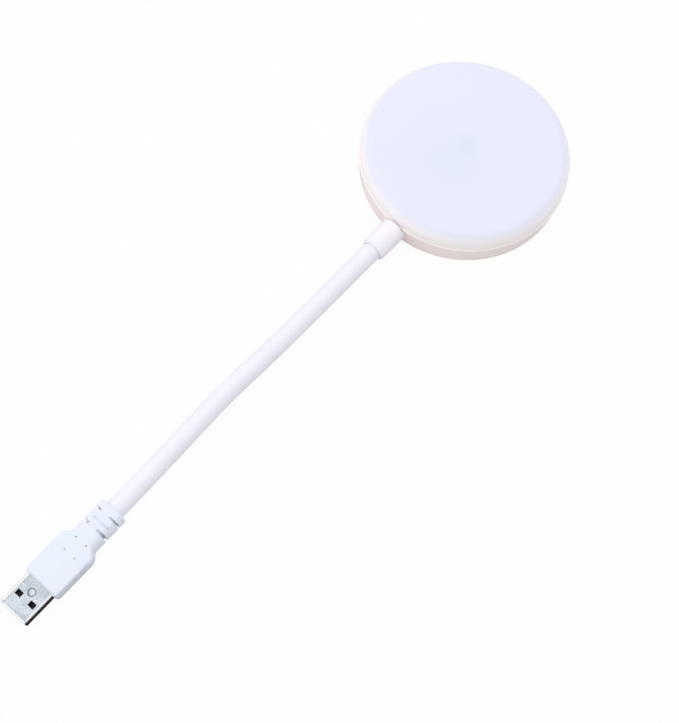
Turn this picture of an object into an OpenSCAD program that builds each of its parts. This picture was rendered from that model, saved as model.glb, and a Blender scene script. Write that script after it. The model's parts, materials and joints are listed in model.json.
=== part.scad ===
// Round light on a flexible neck with a moulded plug.
// Origin: centre of the flat back of the lamp head. +Z leaves through the cover, the neck runs towards -Y.

/* [Lamp head] */
// Outside diameter over the lip of the cover
disc_d = 82; // [76:1:100]
// Height of the base from its flat back to the seam
base_h = 9; // [8.6:0.1:12]
// Thickness of the base's floor
base_floor = 2; // [1.6:0.1:3]
// Rounding of the base's lower edge
base_edge_r = 1.2; // [0.6:0.1:2]
// How far the base's wall stands inside the lip
base_inset = 0.5; // [0.3:0.1:1]
// Height of the cover from the seam to the edge of its crown
cover_h = 7.1; // [6.4:0.1:10]
// Rise of the crown at the centre of the cover
cover_crown = 0.5; // [0.2:0.1:2]
// Rounding of the cover's upper edge
cover_edge_r = 4.3; // [3:0.1:5.5]
// Wall of the cover
cover_wall = 1.6; // [1.2:0.1:2.2]
// Wall of the cover's skirt, where it grips the base
skirt_wall = 1.8; // [1.6:0.1:2.4]
// How far the lip stands out from the cover's wall
lip_proud = 0.4; // [0.2:0.1:0.6]
// Thickness of the lip
lip_t = 0.9; // [0.7:0.1:1.4]
// Dark gap under the lip
shadow_gap = 0.3; // [0.2:0.1:0.6]
// Height of the spigot that centres the cover
spigot_h = 2.4; // [2:0.1:3]
// Wall of the spigot
spigot_wall = 1; // [0.8:0.1:1.6]
// Radius of the snap bead on the spigot
bead_r = 0.3; // [0.2:0.05:0.4]
// Diameter of the moulding boss under the cover's centre
gate_d = 8.5; // [6:0.5:12]

/* [Light board] */
// Thickness of the board
board_t = 1.2; // [0.8:0.1:1.6]
// Height of the board's underside above the neck's axis
board_lift = 1; // [0.9:0.1:1.5]
// Diodes on the outer ring
outer_leds = 12; // [8:2:16]
// Diodes on the inner ring, each with a resistor
inner_leds = 6; // [4:1:8]
// Distance of the outer ring from the board's edge
led_edge = 5.5; // [4:0.5:7]
// Radius of the inner ring
inner_ring_r = 13; // [10:0.5:15]
// Screws that hold the board
screws = 3; // [3:1:4]
// Radius of the screw circle
screw_ring_r = 21.5; // [20:0.5:22]
// Thread diameter of the board screws
screw_d = 1.6; // [1.4:0.1:2]
// Length of the board screws under the head
screw_len = 5.6; // [4:0.2:6]

/* [Ferrule] */
// Outside diameter of the ferrule
ferrule_d = 10; // [9.6:0.1:11]
// Length of the ferrule from the head to its mouth
ferrule_len = 12.4; // [11:0.2:16]
// Rounding of the ferrule's mouth
ferrule_edge_r = 0.9; // [0.4:0.1:1]
// Depth of the neck's axis below the seam
neck_drop = 2.8; // [2.7:0.1:3]
// Diameter of the ferrule's shank in the base's wall
shank_d = 4.6; // [4.4:0.1:4.8]
// Width of the nut across its flats
nut_af = 8; // [7:0.5:8]
// Thickness of the nut
nut_t = 2.4; // [2:0.1:3]

/* [Neck] */
// Outside diameter of the neck
neck_d = 7.5; // [7.2:0.1:8]
// Length of the neck between the ferrule and the plug
neck_len = 135.6; // [110:0.2:200]
// Wall of the neck's skin
jacket_wall = 0.9; // [0.8:0.1:1.1]
// Bore of the wound core
core_bore = 3.2; // [3:0.1:3.4]
// Pitch of the winding
core_pitch = 1.6; // [1.4:0.1:2.2]
// Depth of the groove between two turns
core_groove = 0.35; // [0.2:0.05:0.5]
// Diameter of one insulated lead
lead_d = 1.3; // [1.1:0.05:1.35]
// Distance between the two leads
lead_pitch = 1.4; // [1.4:0.05:1.6]

/* [Plug grip] */
// Width of the grip
grip_w = 15.3; // [14.8:0.1:16]
// Thickness of the grip
grip_t = 8.4; // [8:0.1:9]
// Length of grip and strain relief together
grip_len = 34.9; // [33:0.5:40]
// Rounding of the grip
grip_r = 2; // [1.4:0.1:2.4]
// Width of the strain relief
relief_w = 10.9; // [10.4:0.1:11.6]
// Thickness of the strain relief
relief_t = 9.4; // [9:0.1:9.8]
// Rounding of the strain relief
relief_r = 4.3; // [2.4:0.1:4.4]
// Length of the strain relief up to the shoulders
relief_len = 14; // [13.4:0.2:15]
// Length of the sloped shoulders
shoulder_len = 2.8; // [2.6:0.2:4.4]
// Width of the narrow relief slots
slot_w = 0.65; // [0.5:0.05:0.8]
// Width of the relief slot next to the shoulders
last_slot_w = 1.05; // [0.8:0.05:1.2]
// Length of the ring at the mouth of the relief
mouth_ring = 2.8; // [2.2:0.1:3]
// Distance from the mouth to the middle of the cross slots
cross_slot_at = 6.4; // [6:0.1:6.8]
// Distance from the mouth to the last slots
last_slot_at = 8.8; // [8.6:0.1:9.4]
// Length of the cross slots
cross_slot_l = 8.4; // [6:0.2:9]
// Depth of the cross slots at their ends
cross_slot_depth = 0.8; // [0.6:0.1:1]
// Width of the bridges between the side slots
bridge_w = 3.8; // [2.6:0.1:4.4]
// Diameter of the pin marks on the grip
pin_mark_d = 0.7; // [0.5:0.1:1]

/* [Plug shell] */
// Width of the shell
shell_w = 12; // [12:0.1:12.2]
// Thickness of the shell
shell_t = 4.5; // [4.4:0.1:4.6]
// Sheet thickness
sheet = 0.3; // [0.25:0.05:0.35]
// Length of the shell in front of the grip
shell_out = 12.7; // [12:0.1:14]
// Length of the shell inside the grip
shell_in = 6; // [5:0.2:7]
// Rounding of the shell's long edges
shell_r = 0.8; // [0.6:0.1:1]
// Length of the drawn-in tip
tip_len = 0.7; // [0.5:0.1:1]
// How far the tip is drawn in on each side
tip_in = 0.22; // [0.1:0.02:0.25]
// Window size across the shell
window_w = 2.5; // [2.2:0.1:2.7]
// Window size along the shell
window_l = 2; // [1.8:0.1:2.4]
// Distance from the tip to the middle of the windows
window_at = 6.1; // [5.8:0.1:6.4]
// Distance between the two windows
window_pitch = 6.1; // [5.8:0.1:6.4]
// Diameter of the stamped dimple
dimple_d = 2.7; // [2:0.1:3]
// Distance from the tip to the dimple
dimple_at = 9; // [8.8:0.1:9.6]
// Depth of the plug's mouth
mouth_depth = 9.2; // [8.8:0.1:10]
// Height of the free space over the contacts
mouth_gap = 1.95; // [1.9:0.05:2.1]
// Width of one contact
contact_w = 1; // [0.8:0.05:1.1]
// Thickness of one contact
contact_t = 0.25; // [0.2:0.05:0.3]

/* [Hidden] */
$fn = 64;
tube_sides = 10;

// Clearances
snap_fit = 0.15;      // cover on spigot
groove_fit = 0.1;     // snap bead in its groove
seat_gap = 0.3;       // ferrule to lip
slip = 0.05;          // pieces that slide or are moulded together
turn_room = 0.4;      // round the nut while it is turned
board_gap = 0.9;      // board to nut
anchor_gap = 0.3;     // skin of the neck to the anchor
pilot_spare = 0.3;    // pilot hole past the screw
bend_gap = 1;         // core to the plane of each bend
lead_room = 0.15;     // lead in the board's hole

// Head radii, from the lip inwards
disc_r = disc_d / 2;
cover_r = disc_r - lip_proud;
base_r = disc_r - base_inset;
skirt_r = cover_r - skirt_wall;
spigot_r = skirt_r - snap_fit;
tray_r = spigot_r - spigot_wall;
bead_z = base_h + spigot_h / 2;
gate_t = 0.5;

// Crown: a sphere that runs into the edge rounding without a crease
edge_c = cover_r - cover_edge_r;
crown_r = (edge_c * edge_c + cover_crown * cover_crown) / (2 * cover_crown);
cover_top = base_h + cover_h + cover_crown;
crown_z = cover_top - crown_r;
edge_z = crown_z + sqrt(pow(crown_r - cover_edge_r, 2) - edge_c * edge_c);

// Neck seat in the base's wall
axis_z = base_h - neck_drop;
boss_t = 1;
nut_r = nut_af / sqrt(3);
boss_w = 2 * nut_r + 2 * turn_room;
wall_y = disc_r + seat_gap;
seat_s = -(wall_y - tray_r + boss_t);
shank_proud = 0.4;
shank_len = nut_t - seat_s + shank_proud;
socket_depth = 9;
core_seat = 2;

// Board and what stands on it
board_z = axis_z + board_lift;
board_top = board_z + board_t;
board_r = tray_r - boss_t - nut_t - board_gap;
post_r = 3;
screw_head_d = 3.6;
screw_head_t = 1.2;
screw_cross = [2, 0.5];
pilot_depth = screw_len - board_t + pilot_spare;
led_size = [3.5, 2.8, 0.75];
led_cup_d = 2.3;
resistor_size = [2, 1.25, 0.5];
resistor_ring_r = 18;
pad_x = 2.4;
pad_edge = 5;
pad_y = pad_edge - board_r;
solder_d = 3;
solder_h = 0.7;
solder_tip = 0.2;
lead_end = 0.5;
lead_turn = 1;

// Neck: stretches between bends, and the gentle set that it has taken (degrees at each bend)
neck_set = [0, -0.4, -1.7, 4.3, -0.4, -1];
bends = len(neck_set);
stretches = bends + 1;
stretch = neck_len / bends;
jacket_bore = neck_d - 2 * jacket_wall;
core_d = jacket_bore - 2 * slip;

// Plug stations, measured from the mouth of the strain relief towards the tip
jacket_in = 8;
core_in = 12.6;
lead_exit = core_in + lead_turn;
anchor_at = jacket_in + anchor_gap;
anchor_len = lead_exit - anchor_at;
anchor_d = 7.4;
shell_end = grip_len - shell_in;
tip = grip_len + shell_out;
carrier_tail = 1;
mould_len = 9;
mould_w = 10.4;
mould_t = 5.6;
mould_end = shell_end - carrier_tail - slip;
contact_tail = 3;
contact_x = [-3.5, -1, 1, 3.5];
contact_setback = [1.6, 2.6, 2.6, 1.6];
tongue_setback = 0.9;
carrier_t = shell_t - 2 * sheet - 2 * slip;
carrier_w = shell_w - 2 * sheet - 2 * slip;
carrier_r = shell_r - sheet - slip;
tongue_top = shell_t / 2 - sheet - mouth_gap;
sleeve_wall = 0.5;
dimple_depth = 0.1;
pin_mark_depth = 0.1;
pin_mark_pitch = [4.8, 5.6];
pin_mark_at = relief_len + 1.6;

// Heading after a number of bends, and each bend's place in the neck's plane, from the ferrule's mouth
function heading(i) = i < 1 ? 0 : heading(i - 1) + neck_set[i - 1];
function ahead(i) = [sin(heading(i)), -cos(heading(i)), 0];
function stretch_len(i) = i == 1 || i == stretches ? stretch / 2 : stretch;
function bend_at(i) = i < 1 ? [0, 0, 0] : bend_at(i - 1) + stretch_len(i) * ahead(i - 1);

// The neck droops until the plug lies on the surface under the head
mouth_y = ferrule_len - (bend_at(bends) + stretch / 2 * ahead(bends)).y;
relief_reach = mouth_y - relief_len * ahead(bends).y;
grip_reach = mouth_y - (grip_len - grip_r) * ahead(bends).y;
function lowered(reach, half, height) = asin(height / norm([reach, half])) - atan2(half, reach);
droop = min(lowered(relief_reach, relief_t / 2, axis_z),
            lowered(grip_reach, grip_t / 2 - grip_r, axis_z - grip_r));

// A point of the neck's plane in the frame of the part
function in_part(p) = [p.x, p.y * cos(droop) - p.z * sin(droop) - wall_y,
                       p.y * sin(droop) + p.z * cos(droop) + axis_z];

// Places of the bends, where the joints turn
echo(droop = droop, bends_in_part = [for (i = [1 : bends]) in_part([0, -ferrule_len, 0] + bend_at(i))]);

// Shared shapes

// Rectangle with round corners, centred
module rounded_rect(w, h, r) {
    square([w - 2 * r, h], center = true);
    square([w, h - 2 * r], center = true);
    for (x = [-1, 1], y = [-1, 1]) translate([x * (w / 2 - r), y * (h / 2 - r)]) circle(r);
}

// Copies on a circle, the first at an angle
module around(n, r, first = 0) {
    for (i = [0 : n - 1]) rotate(first + 360 * i / n) translate([r, 0, 0]) children();
}

// Frame of the neck at the base's wall: +Z runs outwards along the neck, +Y is up
module along_neck(s) {
    translate([0, -wall_y, axis_z]) rotate([droop, 0, 0])
        translate([0, -s, 0]) rotate([90, 0, 0]) children();
}

// Frame of one stretch of the neck, at its start
module in_stretch(i) {
    start = bend_at(i - 1);
    along_neck(ferrule_len) translate([start.x, 0, -start.y]) rotate([0, heading(i - 1), 0]) children();
}

// Frame of the plug at the mouth of its strain relief
module in_plug() {
    in_stretch(stretches) translate([0, 0, stretch / 2]) children();
}

// Cuts a stretch square to the middle of each bend, so that neighbours meet face to face
module mitred(i) {
    reach = 4 * neck_d;
    difference() {
        children();
        if (i > 1) rotate([0, -neck_set[i - 2] / 2, 0])
            translate([-reach / 2, -reach / 2, -reach]) cube(reach);
        if (i < stretches) translate([0, 0, stretch_len(i)]) rotate([0, neck_set[i - 1] / 2, 0])
            translate([-reach / 2, -reach / 2, 0]) cube(reach);
    }
}

// Tube swept along points, with its rings square to the path
function unit(v) = v / norm(v);
function tangent(p, i) = unit((i < len(p) - 1 ? unit(p[i + 1] - p[i]) : [0, 0, 0])
                              + (i > 0 ? unit(p[i] - p[i - 1]) : [0, 0, 0]));
function ring(c, t, r) = let (a = unit(cross(t, [1, 0, 0])), b = cross(t, a), step = 360 / tube_sides)
    [for (k = [0 : tube_sides - 1]) c + r * (a * cos(step * k) + b * sin(step * k))];
module swept_tube(p, d) {
    n = tube_sides;
    last = (len(p) - 1) * n;
    polyhedron(
        [for (i = [0 : len(p) - 1]) each ring(p[i], tangent(p, i), d / 2)],
        concat([[for (k = [0 : n - 1]) k]],
               [for (i = [0 : len(p) - 2], k = [0 : n - 1])
                   let (a = i * n + k, b = i * n + (k + 1) % n) each [[a, a + n, b], [b, a + n, b + n]]],
               [[for (k = [n - 1 : -1 : 0]) last + k]]));
}

// Lamp head

// Outline of the cover, drawn in by an even wall
module cover_outline(inset) {
    edge = cover_edge_r - inset;
    tangent_r = edge_c * (1 + edge / (crown_r - cover_edge_r));
    intersection() {
        translate([0, crown_z]) circle(crown_r - inset, $fn = 360);
        translate([0, base_h]) square([tangent_r, cover_top]);
    }
    translate([0, base_h]) square([cover_r - inset, edge_z - base_h]);
    intersection() {
        translate([edge_c, edge_z]) circle(edge);
        translate([0, base_h]) square(2 * disc_r);
    }
}

module diffuser() {
    color("aliceblue") rotate_extrude($fn = 128) difference() {
        union() {
            cover_outline(0);
            translate([disc_r - lip_t / 2, base_h + lip_t / 2]) circle(lip_t / 2);
            translate([skirt_r, base_h]) square([disc_r - lip_t / 2 - skirt_r, lip_t]);
        }
        difference() {
            cover_outline(cover_wall);
            translate([0, cover_top - cover_wall - gate_t]) square([gate_d / 2, cover_top]);
            translate([skirt_r, 0]) square([disc_r, base_h + spigot_h + snap_fit]);
        }
        translate([spigot_r, bead_z]) circle(bead_r + groove_fit);
    }
}

module base_profile() {
    difference() {
        union() {
            square([base_r - base_edge_r, base_h]);
            translate([0, base_edge_r]) square([base_r, base_h - shadow_gap - base_edge_r]);
            translate([base_r - base_edge_r, base_edge_r]) circle(base_edge_r);
            square([spigot_r, base_h + spigot_h]);
            translate([spigot_r, bead_z]) circle(bead_r);
        }
        translate([0, base_floor]) square([tray_r, base_h + spigot_h]);
    }
}

module base_shell() {
    color("whitesmoke") difference() {
        union() {
            rotate_extrude($fn = 128) base_profile();
            // Outer pad that the ferrule seats on
            intersection() {
                along_neck(seat_s) cylinder(h = -seat_s, d = ferrule_d);
                translate([-disc_r, -2 * disc_r, 0]) cube([disc_d, 2 * disc_r, base_h - shadow_gap]);
            }
            // Inner boss that the nut seats on
            along_neck(seat_s) translate([-boss_w / 2, base_floor / 2 - axis_z, 0])
                cube([boss_w, base_h - base_floor / 2, boss_t + spigot_wall / 2]);
            // Board posts, on the floor
            around(screws, screw_ring_r, 90) translate([0, 0, base_floor / 2])
                cylinder(h = board_z - base_floor / 2, r = post_r);
        }
        along_neck(seat_s - nut_t) cylinder(h = nut_t - seat_s + slip, d = shank_d + 2 * slip);
        along_neck(seat_s - 2 * nut_t) cylinder(h = 2 * nut_t, r = nut_r + turn_room);
        around(screws, screw_ring_r, 90) translate([0, 0, board_z - pilot_depth])
            cylinder(h = pilot_depth + slip, d = screw_d + 2 * slip);
    }
}

module led_board() {
    color("seashell") difference() {
        translate([0, 0, board_z]) cylinder(h = board_t, r = board_r);
        around(screws, screw_ring_r, 90) translate([0, 0, board_z - slip])
            cylinder(h = board_t + 2 * slip, d = screw_d + 4 * slip);
        for (x = [-pad_x, pad_x]) translate([x, pad_y, board_z - slip])
            cylinder(h = board_t + 2 * slip, d = lead_d + 2 * lead_room);
    }
}

module led() {
    difference() {
        translate([0, 0, led_size.z / 2]) cube([led_size.y, led_size.x, led_size.z], center = true);
        translate([0, 0, led_size.z / 2]) cylinder(h = led_size.z, d = led_cup_d);
    }
}

module leds() {
    color("ivory") translate([0, 0, board_top]) {
        around(outer_leds, board_r - led_edge, 180 / outer_leds) led();
        around(inner_leds, inner_ring_r) led();
    }
}

module resistors() {
    color("dimgray") translate([0, 0, board_top + resistor_size.z / 2])
        around(inner_leds, resistor_ring_r)
            cube([resistor_size.y, resistor_size.x, resistor_size.z], center = true);
}

module solder_joints() {
    color("silver") for (x = [-pad_x, pad_x]) translate([x, pad_y, board_top]) difference() {
        cylinder(h = solder_h, d1 = solder_d, d2 = lead_d + 2 * solder_tip);
        translate([0, 0, -slip]) cylinder(h = solder_h + 2 * slip, d = lead_d + 2 * slip);
    }
}

module board_screws() {
    color("silver") around(screws, screw_ring_r, 90) translate([0, 0, board_top]) difference() {
        union() {
            cylinder(h = screw_head_t, d = screw_head_d);
            translate([0, 0, -screw_len]) cylinder(h = screw_len + slip, d = screw_d);
        }
        for (turn = [0, 90]) rotate(turn) translate([0, 0, screw_head_t])
            cube([screw_cross.x, screw_cross.y, screw_head_t], center = true);
    }
}

// Neck

module neck_ferrule() {
    r = ferrule_d / 2;
    e = ferrule_edge_r;
    color("white") along_neck(0) rotate_extrude() difference() {
        union() {
            square([r, ferrule_len - e]);
            square([r - e, ferrule_len]);
            translate([r - e, ferrule_len - e]) circle(e);
            translate([0, -shank_len]) square([shank_d / 2, shank_len + slip]);
        }
        translate([0, -shank_len - slip]) square([core_bore / 2 + slip, shank_len + ferrule_len]);
        translate([0, ferrule_len - socket_depth - core_seat]) square([core_d / 2 + slip, ferrule_len]);
        translate([0, ferrule_len - socket_depth]) square([neck_d / 2 + slip, ferrule_len]);
    }
}

module ferrule_nut() {
    color("goldenrod") along_neck(seat_s - nut_t) difference() {
        rotate(30) cylinder(h = nut_t, r = nut_r, $fn = 6);
        translate([0, 0, -slip]) cylinder(h = nut_t + 2 * slip, d = shank_d + 2 * slip);
    }
}

// How far a stretch reaches past its start and end, into the ferrule or the plug
function jacket_from(i) = i == 1 ? socket_depth - slip : neck_d / 4;
function jacket_to(i) = i == stretches ? jacket_in : neck_d / 4;

module neck_jacket(i) {
    whole = jacket_from(i) + stretch_len(i) + jacket_to(i);
    color("white") in_stretch(i) mitred(i) translate([0, 0, -jacket_from(i)]) difference() {
        cylinder(h = whole, d = neck_d);
        translate([0, 0, -slip]) cylinder(h = whole + 2 * slip, d = jacket_bore);
    }
}

// Outline of the wound core: crests with a groove between turns
module core_profile(length) {
    turns = round(length / core_pitch);
    pitch = length / turns;
    r = core_d / 2;
    polygon(concat(
        [[core_bore / 2, 0]],
        [for (k = [0 : turns - 1]) each [[r, k * pitch], [r, (k + 1) * pitch - 2 * core_groove],
                                         [r - core_groove, (k + 1) * pitch - core_groove]]],
        [[r, length], [core_bore / 2, length]]));
}

module neck_core(i) {
    from = i == 1 ? -(socket_depth + core_seat - slip) : bend_gap;
    to = stretch_len(i) + (i == stretches ? core_in : -bend_gap);
    color("slategray") in_stretch(i) translate([0, 0, from]) rotate_extrude() core_profile(to - from);
}

// Leads inside the head: down through the board, then out through the ferrule to the first bend
function head_lead(side) = let (x = side * lead_pitch / 2, y = pad_y, z = axis_z) [
    [side * pad_x, y, board_top + lead_end],
    [side * pad_x, y, board_z],
    [side * pad_x, y - lead_turn / 3, z + lead_turn / 3],
    [side * pad_x, y - lead_turn, z],
    in_part([x, shank_len, 0]),
    in_part([x, -ferrule_len - stretch / 2, 0])];

// Leads inside the plug: out of the core, then apart to the outer contacts
function plug_lead(side) = let (x = side * contact_x[3], y = lead_d / 2 + slip) [
    [side * lead_pitch / 2, 0, -stretch / 2],
    [side * lead_pitch / 2, 0, lead_exit],
    [x, y, mould_end - contact_tail - lead_d],
    [x, y, mould_end - lead_end]];

module lead_pair(i) {
    color("firebrick") for (side = [-1, 1]) {
        if (i == 1) swept_tube(head_lead(side), lead_d);
        else if (i == stretches) in_stretch(i) mitred(i) translate([0, 0, stretch / 2])
            swept_tube(plug_lead(side), lead_d);
        else in_stretch(i) mitred(i) translate([side * lead_pitch / 2, 0, -lead_d])
            cylinder(h = stretch_len(i) + 2 * lead_d, d = lead_d);
    }
}

// Plug

module core_anchor() {
    color("goldenrod") in_plug() translate([0, 0, anchor_at]) difference() {
        cylinder(h = anchor_len, d = anchor_d);
        translate([0, 0, -slip]) cylinder(h = anchor_len + 2 * slip, d = core_d + 2 * slip);
    }
}

// Balls at the four corners of the grip, at one station
module grip_corners(at) {
    for (x = [-1, 1], y = [-1, 1])
        translate([x * (grip_w / 2 - grip_r), y * (grip_t / 2 - grip_r), at]) sphere(grip_r, $fn = 32);
}

module relief_section(from, to) {
    translate([0, 0, from]) linear_extrude(to - from) rounded_rect(relief_w, relief_t, relief_r);
}

// Slots through the relief down to a thin sleeve: on both sides, or across the top and bottom
module relief_slot(at, width, across) {
    translate([0, 0, at]) linear_extrude(width) difference() {
        square(across ? [cross_slot_l, 2 * relief_t] : 2 * relief_w, center = true);
        circle(d = neck_d + 2 * sleeve_wall);
        if (across) rounded_rect(relief_w - 2 * cross_slot_depth, relief_t - 2 * cross_slot_depth,
                                 relief_r - cross_slot_depth);
        else square([bridge_w, 2 * relief_w], center = true);
    }
}

module plug_overmould() {
    color("white") in_plug() difference() {
        union() {
            relief_section(0, relief_len + slip);
            hull() {
                relief_section(relief_len, relief_len + slip);
                grip_corners(relief_len + shoulder_len + grip_r);
            }
            hull() {
                grip_corners(relief_len + shoulder_len + grip_r);
                grip_corners(grip_len - grip_r);
            }
        }
        relief_slot(mouth_ring, slot_w, false);
        relief_slot(cross_slot_at - slot_w / 2, slot_w, true);
        relief_slot(last_slot_at, last_slot_w, false);
        for (x = [-0.5, 0.5], z = [0, 1])
            translate([x * pin_mark_pitch.x, grip_t / 2, pin_mark_at + z * pin_mark_pitch.y])
                rotate([-90, 0, 0]) translate([0, 0, -pin_mark_depth]) cylinder(h = grip_t, d = pin_mark_d);
        translate([0, 0, -slip]) cylinder(h = jacket_in + 2 * slip, d = neck_d + 2 * slip);
        cylinder(h = anchor_at + slip, d = core_d + 2 * slip);
        translate([0, 0, anchor_at - slip]) cylinder(h = anchor_len + 2 * slip, d = anchor_d + 2 * slip);
        translate([0, 0, mould_end - mould_len - slip]) linear_extrude(mould_len + 2 * slip)
            square([mould_w + 2 * slip, mould_t + 2 * slip], center = true);
        translate([0, 0, mould_end]) linear_extrude(grip_len)
            rounded_rect(shell_w + 2 * slip, shell_t + 2 * slip, shell_r + slip);
        for (side = [-1, 1]) swept_tube(plug_lead(side), lead_d + 4 * slip);
    }
}

module plug_inner_mould() {
    color("ivory") in_plug() difference() {
        translate([0, 0, mould_end - mould_len]) linear_extrude(mould_len)
            square([mould_w, mould_t], center = true);
        contact_strips(slip);
        for (side = [-1, 1]) swept_tube(plug_lead(side), lead_d + 4 * slip);
    }
}

// Block of the shell's outline, drawn in at the tip, with its walls inset and its ends overrun
module shell_solid(inset, over) {
    w = shell_w - 2 * inset;
    t = shell_t - 2 * inset;
    drawn = 2 * tip_in * (tip_len + over) / tip_len;
    translate([0, 0, shell_end - over]) linear_extrude(shell_in + shell_out - tip_len + over)
        rounded_rect(w, t, shell_r - inset);
    translate([0, 0, tip - tip_len])
        linear_extrude(tip_len + over, scale = [1 - drawn / w, 1 - drawn / t], slices = 1)
            rounded_rect(w, t, shell_r - inset, $fn = 32);
}

module plug_shell() {
    color("lightsteelblue") in_plug() difference() {
        shell_solid(0, 0);
        shell_solid(sheet, slip);
        for (x = [-1, 1]) translate([x * window_pitch / 2, 0, tip - window_at])
            cube([window_w, 2 * shell_t, window_l], center = true);
        translate([0, shell_t / 2 - dimple_depth, tip - dimple_at]) rotate([-90, 0, 0])
            cylinder(h = shell_t, d = dimple_d);
    }
}

// Contact strips, grown by a clearance where they pass through another piece
module contact_strips(grow) {
    back = mould_end - contact_tail;
    for (k = [0 : len(contact_x) - 1]) {
        length = tip - contact_setback[k] - back;
        translate([contact_x[k], tongue_top - contact_t / 2, back + length / 2])
            cube([contact_w + 2 * grow, contact_t + 2 * grow, length + 2 * grow], center = true);
    }
}

// Carrier of the contacts, up to a height
module carrier(from, to, top) {
    translate([0, 0, from]) linear_extrude(to - from) intersection() {
        rounded_rect(carrier_w, carrier_t, carrier_r);
        translate([-carrier_w / 2, -carrier_t / 2]) square([carrier_w, carrier_t / 2 + top]);
    }
}

module plug_insulator() {
    color("dimgray") in_plug() difference() {
        union() {
            carrier(shell_end - carrier_tail, tip - mouth_depth, carrier_t / 2);
            carrier(shell_end, tip - tongue_setback, tongue_top);
        }
        contact_strips(slip);
    }
}

module plug_contacts() {
    color("gold") in_plug() contact_strips(0);
}

base_shell();
diffuser();
led_board();
leds();
resistors();
solder_joints();
board_screws();
neck_ferrule();
ferrule_nut();
for (i = [1 : stretches]) {
    neck_jacket(i);
    neck_core(i);
    lead_pair(i);
}
core_anchor();
plug_overmould();
plug_inner_mould();
plug_shell();
plug_insulator();
plug_contacts();
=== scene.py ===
"""Looks of a round plug-in light on a flexible neck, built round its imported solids.

The file is laid out as an add-on: settings, one operator for each piece, and a panel that lists them.
Lengths are in metres in the frame of the solids: the head lies on Z = 0 and the neck runs towards -Y.
"""

import json
import math

import bmesh
import bpy
from bpy.props import FloatProperty, FloatVectorProperty, PointerProperty
from bpy.types import Operator, Panel, PropertyGroup
from mathutils import Matrix, Vector


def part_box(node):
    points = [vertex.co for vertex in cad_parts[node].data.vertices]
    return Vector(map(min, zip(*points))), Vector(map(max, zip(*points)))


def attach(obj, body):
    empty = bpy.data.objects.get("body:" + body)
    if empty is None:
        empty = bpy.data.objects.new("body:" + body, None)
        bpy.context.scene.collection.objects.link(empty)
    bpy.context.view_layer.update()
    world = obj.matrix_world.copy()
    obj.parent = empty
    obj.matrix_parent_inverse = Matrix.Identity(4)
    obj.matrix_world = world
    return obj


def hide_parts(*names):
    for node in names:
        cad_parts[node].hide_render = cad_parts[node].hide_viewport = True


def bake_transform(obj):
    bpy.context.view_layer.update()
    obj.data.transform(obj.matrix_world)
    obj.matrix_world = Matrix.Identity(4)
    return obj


bl_info = {
    "name": "Gooseneck Disc Lamp",
    "version": (1, 0, 0),
    "blender": (4, 5, 0),
    "location": "View3D > Sidebar > Disc Lamp",
    "description": "Dresses the packed solids of a plug-in disc lamp with finished pieces",
    "category": "Object",
}

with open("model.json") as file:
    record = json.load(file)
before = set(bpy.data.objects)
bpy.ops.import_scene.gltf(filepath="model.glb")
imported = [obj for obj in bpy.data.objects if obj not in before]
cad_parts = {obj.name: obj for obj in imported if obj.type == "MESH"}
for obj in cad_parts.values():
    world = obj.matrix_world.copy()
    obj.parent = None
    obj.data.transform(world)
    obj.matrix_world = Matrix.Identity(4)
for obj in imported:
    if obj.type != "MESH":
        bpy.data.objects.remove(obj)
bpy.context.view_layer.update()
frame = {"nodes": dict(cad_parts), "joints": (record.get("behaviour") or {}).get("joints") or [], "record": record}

MM = 0.001

# Places that the solids give
JOINTS = {joint["name"]: joint for joint in frame["joints"]}
MOUNTS = {mount["name"]: mount for mount in frame["record"]["mounts"]}
BENDS = [Vector(JOINTS[name]["pos_m"]) for name in sorted(JOINTS)]
NECK_UP = Vector(JOINTS["neck_bend_2"]["axis"]).normalized()
NECK_AHEAD = (BENDS[1] - BENDS[0]).normalized()
STRETCH = (BENDS[1] - BENDS[0]).length
FERRULE_MOUTH = BENDS[0] - NECK_AHEAD * STRETCH / 2
PLUG_TIP = Vector(MOUNTS["usb_plug"]["pos_m"])
PLUG_AHEAD = Vector(MOUNTS["usb_plug"]["axis"]).normalized()
RELIEF_MOUTH = BENDS[-1] + PLUG_AHEAD * STRETCH / 2
PLUG_LENGTH = (PLUG_TIP - RELIEF_MOUTH).length
DISC_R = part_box("diffuser")[1].x
SEAM_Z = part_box("diffuser")[0].z
TOP_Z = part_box("diffuser")[1].z

# Fineness of the meshes
DISC_STEPS = 192
TUBE_STEPS = 64
CORNER_STEPS = 8
BEND_STEPS = 24
CROWN_STEPS = 24
EDGE_STEPS = 16
LIP_STEPS = 12
ROUND_STEPS = 6

# Attribute that holds the painted shade in the plug's recesses
RECESS_SHADE = "recess_shade"


def length(name, millimetres, description):
    """A length that a user may change."""
    return FloatProperty(name=name, description=description, default=millimetres * MM, min=0,
                         unit="LENGTH", precision=5)


def colour(name, rgb, description):
    """A colour that a user may change."""
    return FloatVectorProperty(name=name, description=description, default=rgb, size=3, min=0, max=1,
                               subtype="COLOR")


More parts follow.
